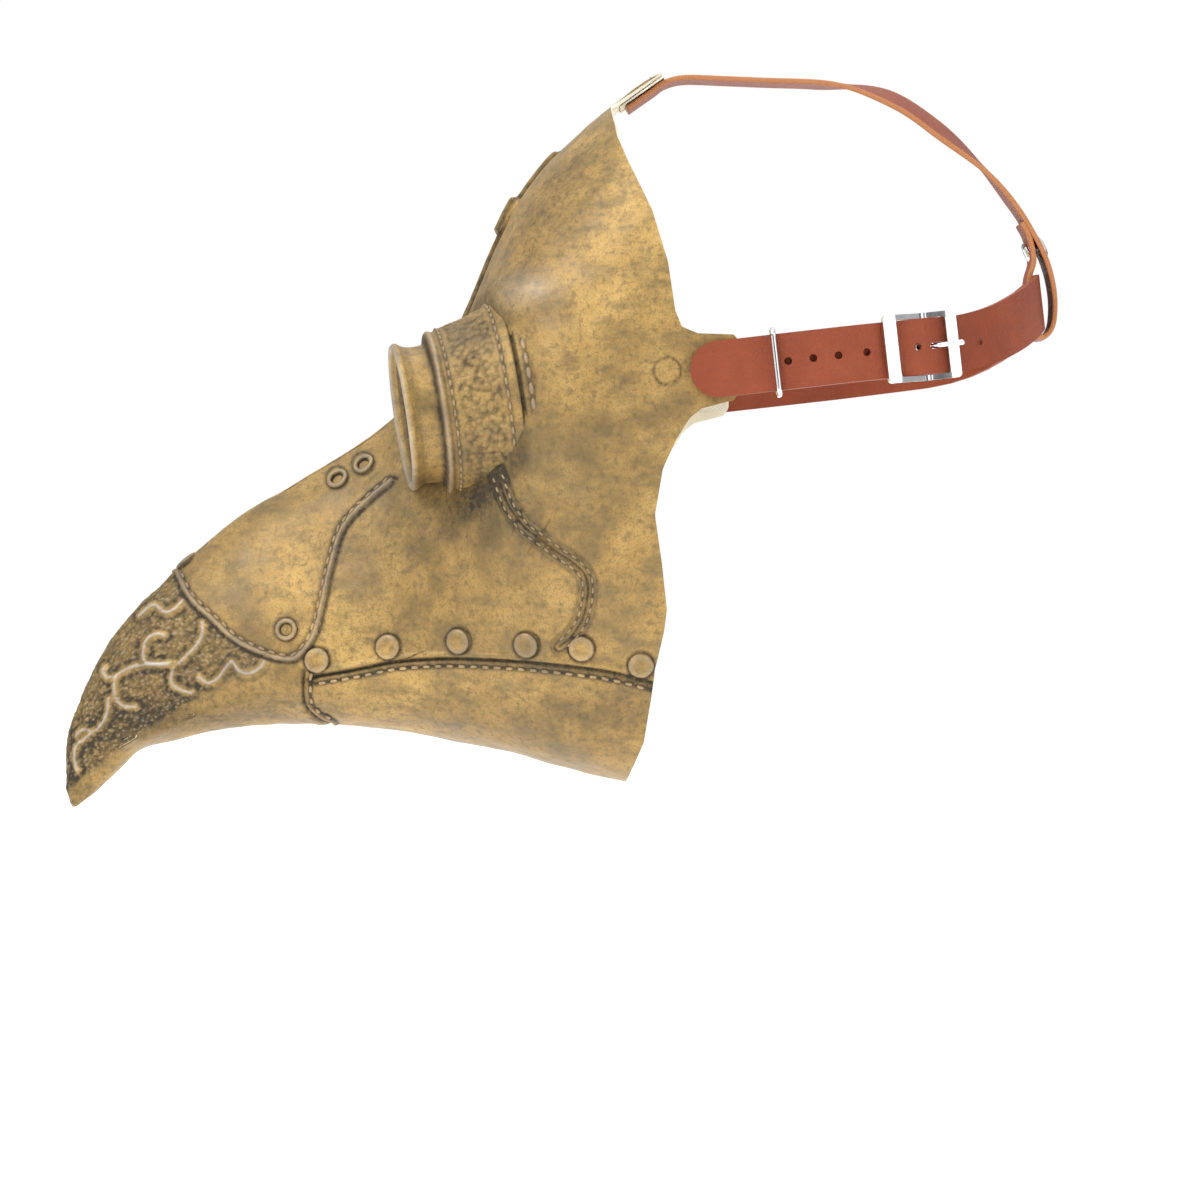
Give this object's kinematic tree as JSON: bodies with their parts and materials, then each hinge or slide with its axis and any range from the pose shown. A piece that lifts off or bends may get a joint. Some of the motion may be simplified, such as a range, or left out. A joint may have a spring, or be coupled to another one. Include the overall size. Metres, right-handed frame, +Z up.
{
  "type": "plague doctor mask",
  "caption": "Beaked face mask cast in gold-painted latex, with round eye barrels and a leather head harness: a buckled strap round the back and a strap over the crown.",
  "frame": {"origin": "middle of the wearer's head on the level of the temples (mount head_seat)", "axes": "+Z up, -Y towards the beak, +X towards the wearer's left; X = 0 is the mirror plane of the casting"},
  "size_m": [0.1617, 0.3567, 0.2634],
  "materials": {
    "latex_gold": "antique gold paint over latex",
    "lens": "dark tinted",
    "glue": "hot-melt",
    "gauze": "latex-soaked gauze",
    "leather": "grained brown",
    "chrome": "polished",
    "thread": "brown thread"
  },
  "bodies": {
    "mask": {"mask_shell": "latex_gold", "lens_left": "lens", "lens_right": "lens", "lens_glue_left": "glue", "lens_glue_right": "glue", "temple_gauze_left": "gauze", "temple_gauze_right": "gauze", "forehead_gauze": "gauze", "buckle_strap": "leather", "rear_strap": "leather", "temple_stitches_left": "thread", "temple_stitches_right": "thread", "fold_stitches": "thread", "forehead_stitches": "thread"},
    "buckle": {"buckle_frame": "chrome", "buckle_bar": "chrome"},
    "prong": {"buckle_prong": "chrome"},
    "keeper": {"keeper_loop": "chrome"},
    "crown": {"crown_strap": "leather", "loop_rivet_cap": "chrome", "loop_rivet_post": "chrome"}
  },
  "joints": [
    {"name": "buckle_tilt", "type": "hinge", "parent": "mask", "child": "buckle", "pos_m": [0.07064, 0.02917, 0.00473], "axis": [0, -0.1122, 0.9937], "range_deg": [-1.1, 1.1]},
    {"name": "prong_hinge", "type": "hinge", "parent": "buckle", "child": "prong", "pos_m": [0.07064, 0.02917, 0.00473], "axis": [0, 0.1122, -0.9937], "range_deg": [0, 4]},
    {"name": "keeper_slide", "type": "slide", "parent": "mask", "child": "keeper", "axis": [0, 0.9937, 0.1122], "range_m": [-0.008, 0.016]},
    {"name": "crown_swing", "type": "hinge", "parent": "mask", "child": "crown", "pos_m": [0, -0.06775, 0.10181], "axis": [0, -0.5736, 0.8192], "range_deg": [-4, 4]}
  ]
}
